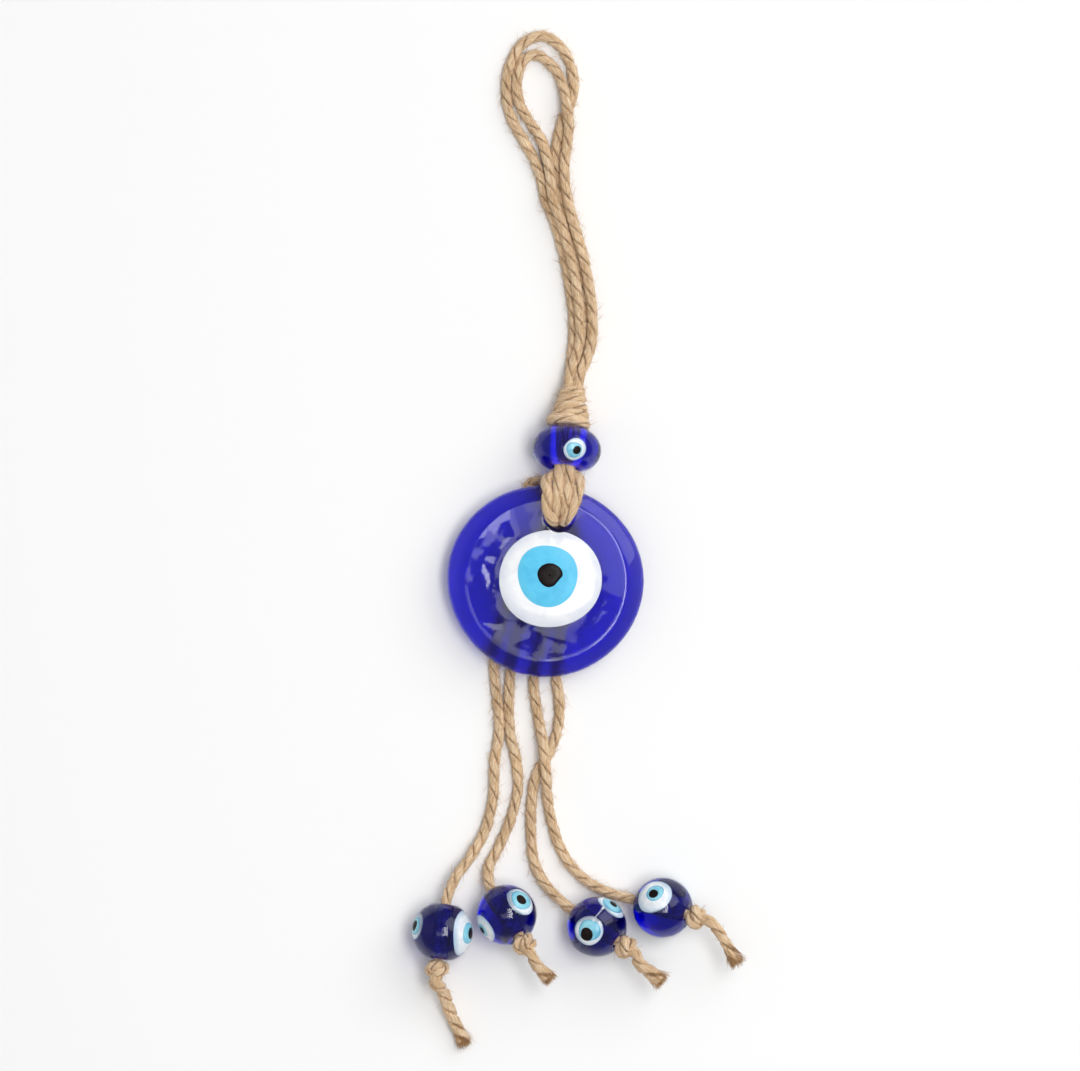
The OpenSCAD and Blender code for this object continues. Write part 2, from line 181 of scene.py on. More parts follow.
def axes(heading, pitch):
    """The local frame of a bore: across it, up from it, and along it."""
    h, p = math.radians(heading), math.radians(pitch)
    side = np.array([math.cos(h), math.sin(h), 0.0])
    lift = np.array([-math.sin(p) * math.sin(h), math.sin(p) * math.cos(h), math.cos(p)])
    aim = np.array([math.sin(h) * math.cos(p), -math.cos(h) * math.cos(p), math.sin(p)])
    return np.array([side, lift, aim])


NECK_AXES = axes(NECK_HEADING, NECK_PITCH)
BEAD_CENTER = [np.array([x, y, BEAD_R]) for x, y in BEAD_AT]
BEAD_AXES = [axes(h, p) for h, p in zip(BEAD_HEADING, BEAD_PITCH)]
tilt = math.radians(DISC_TILT)
DISC_AXES = np.array([
    [1.0, 0.0, 0.0],
    [0.0, math.cos(tilt), math.sin(tilt)],
    [0.0, -math.sin(tilt), math.cos(tilt)],
])


def neck_point(t, side=0.0, rise=0.0):
    return NECK_CENTER + np.array([side, rise, t]) @ NECK_AXES


def bead_point(k, t):
    return BEAD_CENTER[k] + t * BEAD_AXES[k][2]


def neck_route(k):
    inside = [neck_point(t, NECK_SIDE[k], NECK_RISE[k]) for t in (NECK_TOP, -8, -3, 1, NECK_OUT)]
    return inside + NECK_RIM[k]


def tail_route(k):
    return TAIL_FREE[k] + [bead_point(k, t) for t in (-7, -4, 0, KNOT_SEAT)]


def end_route(k):
    return [bead_point(k, KNOT_END), bead_point(k, KNOT_END + 1)] + END_FREE[k]


# ---- mesh building


class Build:
    """Gathers closed shapes into one mesh, each vertex with its fibre coordinates."""

    def __init__(self):
        self.verts, self.faces, self.fibre, self.slots, self.count = [], [], [], [], 0

    def add(self, verts, faces, fibre, slot=0):
        corners = np.array([face if len(face) == 4 else (*face, face[2]) for face in faces])
        a, b, c, d = (verts[corners[:, i]] for i in range(4))
        inside_out = np.einsum("ij,ij->", a, np.cross(b, c) + np.cross(c, d)) < 0
        if inside_out:
            faces = [tuple(reversed(face)) for face in faces]
        self.verts.append(verts)
        self.fibre.append(fibre)
        self.faces.extend(tuple(int(i) + self.count for i in face) for face in faces)
        self.slots.extend([slot] * len(faces))
        self.count += len(verts)

    def make(self, name, materials):
        mesh = bpy.data.meshes.new(name)
        verts = np.concatenate(self.verts) * MM
        mesh.from_pydata(verts.tolist(), [], self.faces)
        for material in materials:
            mesh.materials.append(material)
        mesh.polygons.foreach_set("material_index", np.array(self.slots, np.int32))
        mesh.polygons.foreach_set("use_smooth", np.ones(len(self.faces), bool))
        fibre = mesh.attributes.new("fibre", "FLOAT_VECTOR", "POINT")
        fibre.data.foreach_set("vector", np.concatenate(self.fibre).astype(np.float32).ravel())
        mesh.validate()
        mesh.update()
        obj = bpy.data.objects.new(name, mesh)
        scene.collection.objects.link(obj)
        return obj


def settle(obj, body, node, slot):
    """Hangs a piece on its body and hides the CAD node that it stands for. slot is not used."""
    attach(obj, body)
    stand_for(node, slot)
    return obj


def stand_for(node, slot):
    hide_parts(node)


def seeded(name):
    return np.random.default_rng(zlib.crc32(name.encode()))


def unit(v):
    return v / np.maximum(np.linalg.norm(v, axis=-1, keepdims=True), 1e-12)


def grid_faces(rows, cols, wrap_rows=False, start=0):
    """Quads of a grid whose columns close into rings, and whose rows may close too."""
    faces = []
    last = rows if wrap_rows else rows - 1
    for i in range(last):
        a, b = start + i * cols, start + ((i + 1) % rows) * cols
        for j in range(cols):
            k = (j + 1) % cols
            faces.append((a + j, a + k, b + k, b + j))
    return faces


def between(t, t0, t1, a, b):
    """What lies between a, at t0, and b, at t1."""
    return (t1 - t) / (t1 - t0) * a + (t - t0) / (t1 - t0) * b


def smooth_path(points, step=0.4):
    """An even walk along a smooth curve through the points."""
    p = np.asarray(points, float)
    p = np.vstack([2 * p[0] - p[1], p, 2 * p[-1] - p[-2]])
    gap = np.maximum(np.linalg.norm(np.diff(p, axis=0), axis=1), 1e-6) ** 0.5
    knots = np.concatenate([[0], np.cumsum(gap)])
    dense = []
    for i in range(1, len(p) - 2):
        t0, t1, t2, t3 = knots[i - 1:i + 3]
        t = np.linspace(t1, t2, 24, endpoint=False)[:, None]
        a1 = between(t, t0, t1, p[i - 1], p[i])
        a2 = between(t, t1, t2, p[i], p[i + 1])
        a3 = between(t, t2, t3, p[i + 1], p[i + 2])
        b1 = between(t, t0, t2, a1, a2)
        b2 = between(t, t1, t3, a2, a3)
        dense.append(between(t, t1, t2, b1, b2))
    dense = np.vstack(dense + [p[-2][None]])
    return even(dense, step)


def walked(points):
    """Distance along the points, from the first to each."""
    return np.concatenate([[0], np.cumsum(np.linalg.norm(np.diff(points, axis=0), axis=1))])


def even(points, step):
    along = walked(points)
    count = max(3, int(round(along[-1] / step)) + 1)
    at = np.linspace(0, along[-1], count)
    return np.stack([np.interp(at, along, points[:, i]) for i in range(3)], 1)


def path_length(path):
    return float(np.linalg.norm(np.diff(path, axis=0), axis=1).sum())


def moving_frame(path):
    """Tangent, normal and binormal carried along the path without twisting."""
    t = unit(np.gradient(path, axis=0))
    ref = np.array([0.0, 0.0, 1.0]) if abs(t[0][2]) < 0.9 else np.array([1.0, 0.0, 0.0])
    n = np.zeros_like(t)
    n[0] = unit(ref - (ref @ t[0]) * t[0])
    for i in range(1, len(t)):
        n[i] = unit(n[i - 1] - (n[i - 1] @ t[i]) * t[i])
    return t, n, np.cross(t, n)


# ---- twine

TWINE_LAY = 7.0
PLY_OFFSET = 0.245
PLY_RADIAL = 0.28
PLY_ACROSS = 0.45
PLY_SIDES = 18
TWINE_FLOOR = 0.01
HAIR_SEGMENTS = 6
HAIR_FLOOR = 0.035
HAIR_REACH = 1.95
HAIR_SKIP = 0.035


def sweep(build, centers, e1, e2, r1, r2, ridges, fibre_at):
    """A closed tube of oval section. fibre_at gives the fibre coordinates of its rings."""
    n, sides = ridges.shape
    w = np.arange(sides) / sides * TAU
    c, s = np.cos(w)[None, :, None], np.sin(w)[None, :, None]
    off = (c * r1[:, None, None] * e1[:, None, :] + s * r2[:, None, None] * e2[:, None, :])
    verts = centers[:, None, :] + off * ridges[..., None]
    fibre = fibre_at(verts)
    faces = grid_faces(n, sides)
    a, b = n * sides, n * sides + 1
    first = [(a, (j + 1) % sides, j) for j in range(sides)]
    base = (n - 1) * sides
    last = [(b, base + j, base + (j + 1) % sides) for j in range(sides)]
    ends = np.stack([centers[0], centers[-1]])
    end_fibre = np.stack([fibre[0].mean(0), fibre[-1].mean(0)])
    build.add(
        np.concatenate([verts.reshape(-1, 3), ends]),
        faces + first + last,
        np.concatenate([fibre.reshape(-1, 3), end_fibre]),
    )


def twine(build, path, rng, d=CORD_D, lay=TWINE_LAY, spread=1.0, swell=1.0):
    """Two plies laid round each other along the path, with a slightly uneven, fibrous skin."""
    _, n, b = moving_frame(path)
    along = walked(path)
    wander = 0.36 * np.sin(along / 5.1 + rng.uniform(0, TAU))
    turn = rng.uniform(0, TAU) - TAU * along / lay + wander
    uneven = 1 + 0.035 * np.sin(along / 3.7 + rng.uniform(0, TAU)) \
        + 0.03 * np.sin(along / 1.9 + rng.uniform(0, TAU))
    taper = np.ones(len(path))
    taper[0] = taper[-1] = 0.72
    taper[1] = taper[-2] = 0.93
    w = np.arange(PLY_SIDES) / PLY_SIDES * TAU

    def measured(verts):
        """Distance along the cord, and the two distances from its own line."""
        rel = verts - path[:, None, :]
        return np.stack([np.repeat(along[:, None], PLY_SIDES, 1),
                         np.einsum("ijk,ik->ij", rel, n), np.einsum("ijk,ik->ij", rel, b)], -1)

    for ply in range(2):
        a = turn + ply * math.pi
        e1 = np.cos(a)[:, None] * n + np.sin(a)[:, None] * b
        e2 = -np.sin(a)[:, None] * n + np.cos(a)[:, None] * b
        centers = path + (PLY_OFFSET * d * spread * np.ones(len(path)))[:, None] * e1
        skin = np.ones((len(path), PLY_SIDES))
        for waves, size in ((3, 0.03), (5, 0.035), (7, 0.03)):
            phase = rng.uniform(0, TAU) + a * waves * 0.9 + 0.6 * np.sin(along / 4 + waves)
            skin = skin + size * np.sin(waves * w[None, :] + phase[:, None])
        skin = skin * uneven[:, None] * (1 + 0.012 * rng.standard_normal(skin.shape))
        sweep(build, centers, e1, e2, PLY_RADIAL * d * swell * taper,
              PLY_ACROSS * d * swell * taper, skin, measured)
    for verts in build.verts[-2:]:
        verts[:, 2] = np.maximum(verts[:, 2], TWINE_FLOOR)


def hairs(build, starts, along_dirs, out_dirs, lengths, angles, rng, r0=0.05, slot=1,
          curl=0.35, limit=HAIR_REACH):
    """Loose fibres: thin pointed tubes that leave the cord and curl, no further out than limit."""
    count, segments = len(starts), HAIR_SEGMENTS
    u = np.linspace(0, 1, segments + 1)
    side = unit(np.cross(along_dirs, out_dirs))
    bend = rng.uniform(-1, 1, (count, 1, 1)) * curl
    sway = rng.uniform(-1, 1, (count, 1, 1)) * curl * 1.4
    ca, sa = np.cos(angles)[:, None, None], np.sin(angles)[:, None, None]
    uu = u[None, :, None]
    step = along_dirs[:, None] * ca * uu + out_dirs[:, None] * (sa * uu + bend * uu ** 2) \
        + side[:, None] * (sway * uu ** 2 + 0.12 * curl * np.sin(uu * 7 + sway * 9) * uu)
    away = step - np.einsum("ijk,ik->ij", step, along_dirs)[..., None] * along_dirs[:, None]
    lengths = np.minimum(lengths, limit / np.linalg.norm(away, axis=2).max(1).clip(0.01))
    centers = starts[:, None] + lengths[:, None, None] * step
    centers[..., 2] = np.maximum(centers[..., 2], HAIR_FLOOR)
    tang = unit(np.gradient(centers, axis=1))
    s1 = unit(np.cross(tang, side[:, None] + 0.3 * out_dirs[:, None]))
    s2 = np.cross(tang, s1)
    radius = (r0 * (1 - 0.65 * u[:-1]))[None, :, None]
    rings = np.stack([
        centers[:, :-1] + radius * (math.cos(a) * s1 + math.sin(a) * s2)[:, :-1]
        for a in (0, TAU / 3, TAU * 2 / 3)], 2)
    verts = np.concatenate([rings.reshape(count, -1, 3), centers[:, -1:]], 1)
    per, last = segments * 3 + 1, segments * 3 - 3
    one = [(2, 1, 0)] + grid_faces(segments, 3) \
        + [(last + j, last + (j + 1) % 3, per - 1) for j in range(3)]
    faces = [tuple(h * per + v for v in face) for h in range(count) for face in one]
    tone = rng.uniform(0, 40, (count, 1, 1)) * np.ones((1, per, 1))
    fibre = np.concatenate([tone, np.zeros((count, per, 2))], 2)
    build.add(verts.reshape(-1, 3), faces, fibre.reshape(-1, 3), slot)


def fuzz(build, path, rng, per_mm=7.0, reach=(0.7, 4.2), bare=()):
    """Loose fibres all along a cord, except inside the balls (centre, radius) listed in bare."""
    t, n, b = moving_frame(path)
    count = int(path_length(path) * per_mm)
    i = rng.integers(int(HAIR_SKIP * len(path)), int((1 - HAIR_SKIP) * len(path)), count)
    for center, near in bare:
        i = i[np.linalg.norm(path[i] - center, axis=1) > near]
    count = len(i)
    phi = rng.uniform(0, TAU, count)
    out = np.cos(phi)[:, None] * n[i] + np.sin(phi)[:, None] * b[i]
    starts = path[i] + 0.72 * CORD_R * out
    sense = rng.choice([-1.0, 1.0], count)[:, None]
    lengths = rng.uniform(0, 1, count) ** 2 * (reach[1] - reach[0]) + reach[0]
    angles = np.radians(rng.uniform(8, 52, count))
    hairs(build, starts, t[i] * sense, out, lengths, angles, rng)
    flat = rng.integers(0, 2, count).astype(bool)
    starts = path[i[flat]] + rng.uniform(0.78, 0.93, (flat.sum(), 1)) * CORD_R * out[flat]
    lengths = rng.uniform(1.0, 3.6, len(starts))
    angles = np.radians(rng.uniform(-2, 9, len(starts)))
    hairs(build, starts, (t[i] * sense)[flat], out[flat], lengths, angles, rng, r0=0.06,
          curl=0.08)


# ---- materials


def srgb(r, g, b):
    """A colour given as 0-255 screen values, in the linear numbers that shaders take."""
    return tuple(((c / 255 + 0.055) / 1.055) ** 2.4 if c > 10 else c / 255 / 12.92
                 for c in (r, g, b)) + (1.0,)


class Nodes:
    """A short way to write a material's nodes."""

    def __init__(self, name):
        self.material = bpy.data.materials.new(name)
        self.material.use_nodes = True
        self.tree = self.material.node_tree
        self.tree.nodes.clear()
        self.output = self.add("ShaderNodeOutputMaterial")

    def add(self, kind, inputs=None, **settings):
        node = self.tree.nodes.new(kind)
        for key, value in settings.items():
            setattr(node, key, value)
        for key, value in (inputs or {}).items():
            self.put(node.inputs[key], value)
        return node

    def put(self, socket, value):
        if isinstance(value, bpy.types.NodeSocket):
            self.tree.links.new(value, socket)
        else:
            socket.default_value = value

    def math(self, operation, *values):
        return self.add("ShaderNodeMath", dict(enumerate(values)), operation=operation).outputs[0]

    def mix(self, factor, a, b, blend="MIX"):
        node = self.add("ShaderNodeMix", data_type="RGBA", blend_type=blend)
        self.put(node.inputs["Factor"], factor)
        self.put(node.inputs[6], a)
        self.put(node.inputs[7], b)
        return node.outputs[2]

    def ramp(self, factor, stops):
        node = self.add("ShaderNodeValToRGB", {"Fac": factor})
        elements = node.color_ramp.elements
        while len(elements) < len(stops):
            elements.new(0.5)
        for element, (place, colour) in zip(elements, stops):
            element.position = place
            element.color = colour
        return node.outputs["Color"]

    def noise(self, vector, scale, detail=2.0, roughness=0.5, distortion=0.0):
        node = self.add("ShaderNodeTexNoise", {
            "Vector": vector, "Scale": scale, "Detail": detail,
            "Roughness": roughness, "Distortion": distortion})
        return node.outputs["Fac"]

    def scaled(self, vector, scale):
        return self.add("ShaderNodeMapping", {"Vector": vector, "Scale": scale}).outputs["Vector"]

    def fibre(self):
        return self.add("ShaderNodeAttribute", attribute_name="fibre").outputs["Vector"]

    def position(self):
        return self.add("ShaderNodeTexCoord").outputs["Object"]

    def grade(self, value, low=0.0, high=1.0, to_low=0.0, to_high=1.0):
        return self.add("ShaderNodeMapRange", {
            "Value": value, "From Min": low, "From Max": high,
            "To Min": to_low, "To Max": to_high}).outputs[0]

    def length(self, vector):
        node = self.add("ShaderNodeVectorMath", {0: vector}, operation="LENGTH")
        return node.outputs["Value"]

    def bump(self, height, distance, normal=None):
        node = self.add("ShaderNodeBump", {
            "Height": height, "Distance": distance, "Strength": 1.0})
        if normal is not None:
            self.put(node.inputs["Normal"], normal)
        return node.outputs["Normal"]

    def finish(self, shader, volume=None):
        self.tree.links.new(shader.outputs[0], self.output.inputs["Surface"])
        if volume is not None:
            self.tree.links.new(volume.outputs[0], self.output.inputs["Volume"])
        return self.material


def jute_material(name, dark, mid, light):
    """Jute: fibres that run with the cord, with painted shade between the plies, paler and browner
    by turns.
    """
    m = Nodes(name)
    fibre = m.fibre()
    fine = m.noise(m.scaled(fibre, (0.55, 7.0, 7.0)), 1.0, 4.0, 0.6)
    coarse = m.noise(m.scaled(fibre, (0.3, 2.2, 2.2)), 1.0, 2.0, 0.5)
    patch = m.noise(m.scaled(fibre, (0.16, 0.2, 0.2)), 1.0, 1.0, 0.5)
    # Painted shade: depth is the distance from the cord's own line, and the colour darkens towards
    # it, in the grooves between the plies.
    depth = m.grade(m.length(m.scaled(fibre, (0, 1, 1))), 0.3, 0.78)
    shade = m.math("ADD", m.math("MULTIPLY", fine, 0.7), m.math("MULTIPLY", coarse, 0.35))
    colour = m.ramp(shade, [(0.34, dark), (0.5, mid), (0.68, light)])
    painted_groove_shade = m.mix(depth, srgb(128, 92, 56), colour)
    tone = m.ramp(patch, [(0.3, (0.86, 0.82, 0.76, 1)), (0.55, (1, 1, 1, 1)),
                          (0.75, (1.06, 1.04, 1.0, 1))])
    tinted = m.mix(1.0, painted_groove_shade, tone, "MULTIPLY")
    normal = m.bump(m.math("ADD", fine, m.math("MULTIPLY", coarse, 0.6)), 0.00022)
    shader = m.add("ShaderNodeBsdfPrincipled", {
        "Base Color": tinted, "Normal": normal, "Roughness": 0.82,
        "Specular IOR Level": 0.28, "Sheen Weight": 0.25, "Sheen Roughness": 0.5})
    return m.finish(shader)


JUTE = jute_material("jute", srgb(172, 130, 88), srgb(224, 190, 150), srgb(250, 230, 200))


def hair_material(name, dark, mid, light):
    m = Nodes(name)
    colour = m.ramp(m.noise(m.fibre(), 0.9, 0.0), [(0.3, dark), (0.5, mid), (0.7, light)])
    shader = m.add("ShaderNodeBsdfPrincipled", {
        "Base Color": colour, "Roughness": 0.6, "Specular IOR Level": 0.35,
        "Sheen Weight": 0.2})
    return m.finish(shader)


HAIR = hair_material("jute_hair", srgb(172, 130, 84), srgb(220, 184, 138), srgb(248, 224, 188))
HAIR_TIP = hair_material("jute_tip", srgb(132, 90, 50), srgb(190, 146, 96), srgb(228, 192, 144))
TWINE = [JUTE, HAIR]


def glass_normal(m, scale, distance):
    """Fire-polished glass is never quite flat: slow waves, and a faint finer ripple."""
    position = m.position()
    slow = m.noise(position, scale, 1.0, 0.4, 0.3)
    quick = m.noise(position, scale * 4.5, 2.0, 0.5)
    return m.bump(quick, 0.00001, m.bump(slow, distance))


FROSTED = 0.6


def cobalt_material(name, tint, density, scale=110.0, waves=0.0004, roughness=0.02):
    """Cobalt glass: clear, so its depth gives its colour, with a wet, slightly wavy fire polish.

    The first fibre coordinate is 1 where the glass was cast on a plate, which left it frosted.
    """
    m = Nodes(name)
    normal = glass_normal(m, scale, waves)
    frost = m.add("ShaderNodeSeparateXYZ", {"Vector": m.fibre()}).outputs["X"]
    rough = m.grade(frost, to_low=roughness, to_high=FROSTED)
    shader = m.add("ShaderNodeBsdfPrincipled", {
        "Base Color": (1, 1, 1, 1), "Roughness": rough, "Normal": normal, "IOR": 1.5,
        "Transmission Weight": 1.0})
    volume = m.add("ShaderNodeVolumeAbsorption", {"Color": tint, "Density": density})
    return m.finish(shader, volume)


def bore_material():
    """The wall of a bead's bore, left matt and chalky by the rod that it was wound on."""
    m = Nodes("bead_bore")
    chalk = m.noise(m.position(), 900.0, 3.0, 0.6)
    colour = m.ramp(chalk, [(0.35, srgb(34, 26, 120)), (0.65, srgb(62, 54, 170))])
    shader = m.add("ShaderNodeBsdfPrincipled", {
        "Base Color": colour, "Roughness": 0.8, "Normal": m.bump(chalk, 0.0001),
        "Specular IOR Level": 0.2})
    return m.finish(shader)


COBALT = cobalt_material("cobalt_glass", (0.06, 0.0, 0.912, 1), 500.0, roughness=0.035)
COBALT_NECK = cobalt_material("cobalt_neck", (0.06, 0.0, 0.945, 1), 460.0, scale=90.0,
                             waves=0.0002)
COBALT_BEAD = cobalt_material("cobalt_bead", (0.03, 0.0, 0.92, 1), 620.0, scale=80.0,
                             waves=0.00022)
BORE = bore_material()


def opaque_glass(name, low, high, rim, roughness=0.12, subsurface=0.0, specular=0.5):
    """Opaque coloured glass with a soft mottle and a glossy, slightly wavy skin.

    The length of its fibre coordinates is 0 in the middle of a spot and 1 at its thin edge.
    """
    m = Nodes(name)
    normal = glass_normal(m, 150.0, 0.00012)
    position = m.position()
    mottle = m.noise(position, 420.0, 3.0, 0.55, 0.6)
    uneven = m.math("MULTIPLY_ADD", m.noise(position, 300.0, 1.0), 0.5,
                    m.math("SUBTRACT", m.length(m.fibre()), 0.25))
    colour = m.mix(m.grade(uneven, 0.72, 1.05), m.ramp(mottle, [(0.35, low), (0.62, high)]), rim)
    shader = m.add("ShaderNodeBsdfPrincipled", {
        "Base Color": colour, "Roughness": roughness, "Normal": normal, "IOR": 1.45,
        "Specular IOR Level": specular})
    if subsurface:
        shader.inputs["Subsurface Weight"].default_value = subsurface
        shader.inputs["Subsurface Radius"].default_value = (1.0, 1.0, 1.1)
        shader.inputs["Subsurface Scale"].default_value = 0.0006
    return m.finish(shader)


# The white's rim colour, greyer and bluer than the rest, is partly the cobalt seen through the
# thin edge and partly painted shade on the sloping edge of the dome.
MILK = opaque_glass("white_glass", srgb(240, 242, 247), srgb(250, 251, 253),
                    srgb(224, 228, 240), subsurface=0.1)
MILK_SPOT = opaque_glass("white_spot", srgb(222, 230, 238), srgb(244, 247, 250),
                         srgb(172, 198, 222), subsurface=0.1)
SKY = opaque_glass("sky_glass", srgb(84, 192, 234), srgb(96, 204, 243), srgb(110, 208, 242),
                   roughness=0.3, specular=0.2)
SKY_SPOT = opaque_glass("sky_spot", srgb(120, 194, 220), srgb(154, 216, 232),
                        srgb(66, 146, 190))
BLACK = opaque_glass("black_glass", srgb(20, 14, 14), srgb(34, 26, 25), srgb(30, 26, 30),
                     roughness=0.3, specular=0.12)


# ---- cords: the two loop strands


def loop_strand(name, route, rise, node):
    """A strand of the loop, with its ends carried on into the wrap knot."""
    rng = seeded(name)
    first, last = neck_point(-11.5, -0.9, rise), neck_point(-11.5, 0.9, rise)
    path = smooth_path([first] + route + [last])
    build = Build()
    twine(build, path, rng)
    fuzz(build, path, rng)
    strand = build.make(name, TWINE)
    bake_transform(strand)
    stand_for(node, "jute")


loop_strand("twine_loop_outer", LOOP_OUTER, -0.8, "loop_strand_outer")
loop_strand("twine_loop_inner", LOOP_INNER, 0.9, "loop_strand_inner")


# ---- stopper knots and frayed ends


TAIL_BODY = ["left_tails", "left_tails", "right_tails", "right_tails"]
KNOT_MAJOR = 1.02
KNOT_MINOR = 0.66


def trefoil(center, basis, lean):
    """A tight overhand knot, drawn as a closed trefoil about the bead's axis."""
    w = np.linspace(0, TAU, 150, endpoint=False)
    ring = KNOT_MAJOR + KNOT_MINOR * np.cos(3 * w)
    local = np.stack([ring * np.cos(2 * w + lean), ring * np.sin(2 * w + lean),
                      KNOT_MINOR * 1.15 * np.sin(3 * w)], 1)
    return center + local @ basis


def stopper_knot(k):
    name = f"twine_knot_{k + 1}"
    rng = seeded(name)
    build = Build()
    path = trefoil(bead_point(k, KNOT_MID), BEAD_AXES[k], rng.uniform(0, TAU))
    twine(build, np.vstack([path, path[:3]]), rng, d=1.8, lay=4.4)
    core = [bead_point(k, t) for t in (KNOT_SEAT - 0.8, KNOT_MID, KNOT_END + 0.8)]
    twine(build, smooth_path(core, 0.3), rng, d=1.7)
    fuzz(build, path, rng, per_mm=2.2, reach=(0.5, 2.0))
    return settle(build.make(name, TWINE), TAIL_BODY[k], f"stopper_knot_{k + 1}", "jute")


# For each frayed end: its diameter, how far its fibres fan out, the share of it that has opened,
# and how much wider its plies are at the tip. No fibre of a brush starts before FRAY_FROM.
END_D = [2.45, 2.1, 2.2, 2.1]
FRAY_SPREAD = [1.1, 0.9, 1.5, 1.7]
FRAY_SHARE = [0.3, 0.6, 0.8, 0.4]
FRAY_SWELL = [-0.15, 0.35, 0.42, -0.25]
FRAY_FROM = 0.62
FRAY_FIBRES = 320


def frayed_end(k):
    """The cut end beyond a knot: the plies open, thin out and end in a brush of fibres."""
    name = f"twine_end_{k + 1}"
    rng = seeded(name)
    build = Build()
    path = smooth_path([bead_point(k, KNOT_END - 0.9)] + end_route(k), 0.3)
    count = len(path)
    u = np.linspace(0, 1, count)
    opening = np.clip((u - (1 - FRAY_SHARE[k])) / FRAY_SHARE[k], 0, 1)
    swell = 1 + FRAY_SWELL[k] * opening ** 1.3
    keep = int(count * 0.96)
    twine(build, path[:keep], rng, d=END_D[k], spread=(1 + 0.6 * opening ** 1.5)[:keep],
          swell=swell[:keep])
    fuzz(build, path[:keep], rng, per_mm=4.0, reach=(0.7, 2.6))
    t, n, b = moving_frame(path)
    strands = FRAY_FIBRES
    at = rng.uniform(max(1 - FRAY_SHARE[k], FRAY_FROM), 0.97, strands)
    i = (at * (count - 1)).astype(int)
    phi = rng.uniform(0, TAU, strands)
    out = np.cos(phi)[:, None] * n[i] + np.sin(phi)[:, None] * b[i]
    starts = path[i] + (rng.uniform(0.1, 1.05, strands) * CORD_R * swell[i])[:, None] * out
    left = (1 - at) * path_length(path)
    lengths = left * rng.uniform(0.75, 1.12, strands) + rng.uniform(0.2, 0.9, strands)
    angles = np.arctan(rng.uniform(0.1, 1.0, strands) * FRAY_SPREAD[k] / np.maximum(lengths, 1.2))
    hairs(build, starts, t[i], out, lengths, angles, rng, r0=0.06, slot=2, curl=0.16, limit=6.0)
    end = build.make(name, [JUTE, HAIR, HAIR_TIP])
    return settle(end, TAIL_BODY[k], f"frayed_end_{k + 1}", "jute")


knots = [stopper_knot(k) for k in range(4)]
ends = [frayed_end(k) for k in range(4)]


# ---- cords: the four tails

TAIL_INTO_HITCH = [
    [2.2, -98.2, 1.5],
    [3.4, -98.8, 1.4],
    [5.2, -98.2, 1.5],
    [4.2, -98.8, 1.4],
]


def tail_strand(k):
    name = f"twine_tail_{k + 1}"
    rng = seeded(name)
    build = Build()
    path = smooth_path([TAIL_INTO_HITCH[k]] + tail_route(k))
    twine(build, path, rng)
    fuzz(build, path, rng, bare=[(BEAD_CENTER[k], BEAD_R + 1.0)])
    tail = build.make(name, TWINE)
    first = np.array(TAIL_FREE[k][0])
    aim = unit(np.array(TAIL_FREE[k][1]) - first)
    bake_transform(tail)
    stand_for(f"tail_strand_{k + 1}", "jute")


for k in range(4):
    tail_strand(k)


# ---- neck strands, wrap knot, hitch

# How far each strand spreads sideways below the bead, and how far it dives towards the hole.
NECK_SPLAY = [-1.0, -0.05, 1.0, 0.05]
NECK_DIVE = [0.0, -0.9, 0.0, -0.9]


def neck_strand(k):
    """One strand through the neck bead; it spreads as soon as it is out of the bore."""
    name = f"twine_neck_{k + 1}"
    rng = seeded(name)
    build = Build()
    route = neck_route(k) + [[NECK_RIM[k][-1][0], NECK_RIM[k][-1][1] + 0.2, 1.6]]
    path = smooth_path(route, 0.35)
    path[:, 0] += NECK_SPLAY[k] * np.exp(-((path[:, 1] + 91.0) / 1.5) ** 2)
    path[:, 1] += NECK_DIVE[k] * np.clip((-95.0 - path[:, 1]) / 2.2, 0, 1)
    twine(build, path, rng, d=2.15, lay=10.0)
    fuzz(build, path, rng, reach=(0.6, 2.6), bare=[
        (NECK_CENTER, 5.5), (DISC_CENTER + np.array([*HOLE_AT, 3.0]) @ DISC_AXES, 4.4)])
    settle(build.make(name, TWINE), "neck", f"neck_strand_{k + 1}", "jute")


for k in range(4):
    neck_strand(k)


def wrap_knot():
    """Five turns of twine wound round the strands, wider towards the bead."""
    rng = seeded("twine_wrap")
    build = Build()
    turns = np.linspace(-0.42, WRAP_TURNS - 0.55, 56)
    points = []
    for w in turns:
        flare = 2.0 * max(0.0, 0.15 - w) ** 1.4
        r = WRAP_R_LOW - WRAP_R_STEP * max(w, 0) + flare
        a = TAU * w + math.radians(151)
        t = -WRAP_START - WRAP_PITCH * max(w, 0.0)
        points.append(neck_point(t, -r * math.cos(a), r * math.sin(a)))
    path = smooth_path(points, 0.35)
    twine(build, path, rng, d=2.0, lay=9.0)
    fuzz(build, path, rng, per_mm=6.0, reach=(0.6, 2.6))
    settle(build.make("twine_wrap", TWINE), "neck", "wrap_knot", "jute")


wrap_knot()


